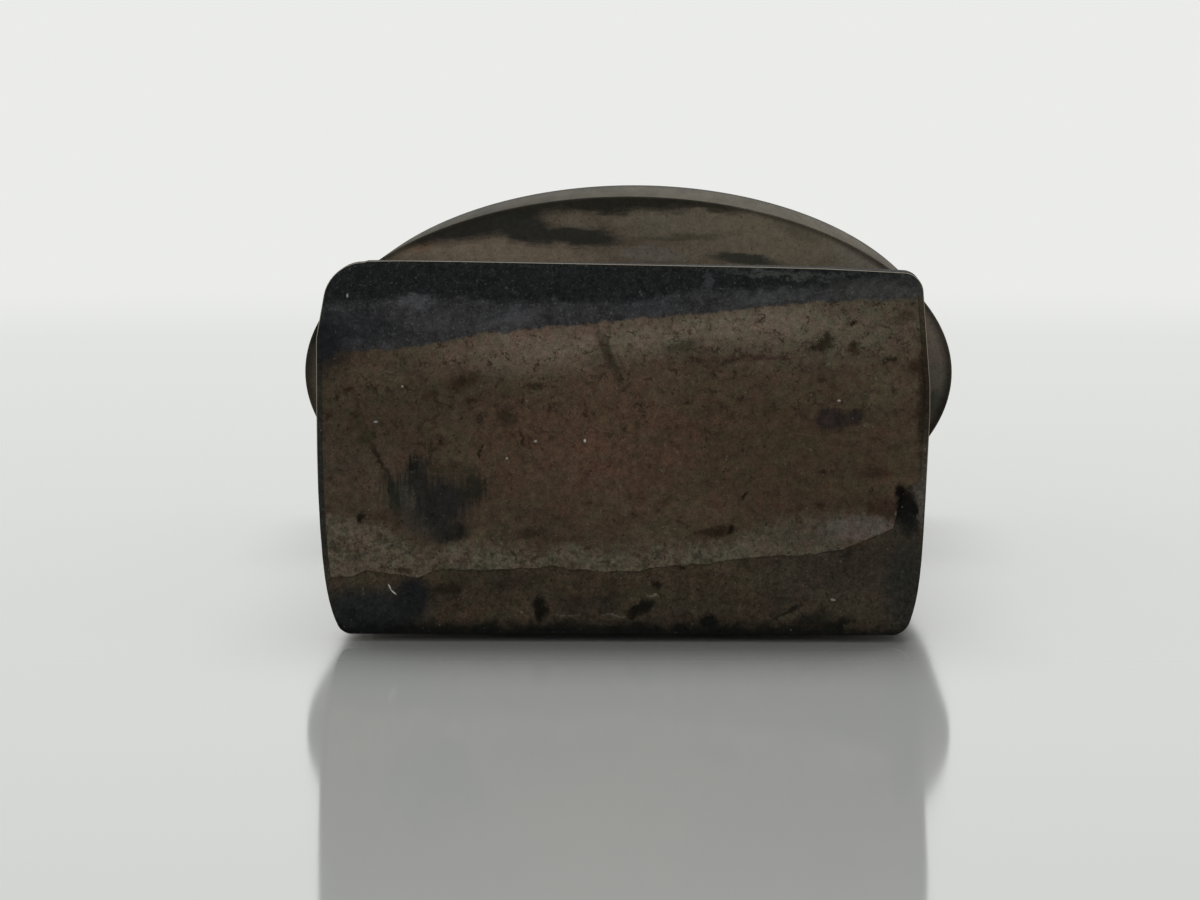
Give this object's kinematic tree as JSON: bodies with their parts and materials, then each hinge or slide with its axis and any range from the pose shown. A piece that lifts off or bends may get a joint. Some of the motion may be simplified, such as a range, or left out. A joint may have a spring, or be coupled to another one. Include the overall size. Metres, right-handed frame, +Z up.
{
  "type": "wooden hand stamp",
  "caption": "Hand stamp with a waisted wooden grip dowelled to an oval wooden base, a cushioned rubber printing face, and the torn rest of a blank paper label on the end of the grip.",
  "frame": {"origin": "on the surface that the stamp lies on, under the middle of its length and of its base's width", "axes": "+Y along the stamp from the grip's end to the printing face, +Z up as it lies on its broad side, +X to the right seen from the grip's end"},
  "size_m": [0.0394, 0.0724, 0.0214],
  "materials": {
    "grip_wood": "old handled hardwood, stained with ink, satin",
    "base_wood": "old hardwood with ink smears, rubbed smooth round the side",
    "dowel_wood": "bare, raw",
    "cushion_sponge": "fine open sponge, matte",
    "die_rubber": "moulded, dried ink on the raised work",
    "label_paper": "aged and stained, matte"
  },
  "bodies": {
    "root": {"grip": "grip_wood", "base": "base_wood", "dowel_left": "dowel_wood", "dowel_right": "dowel_wood", "cushion": "cushion_sponge", "rubber_die": "die_rubber", "paper_label": "label_paper"}
  },
  "joints": []
}
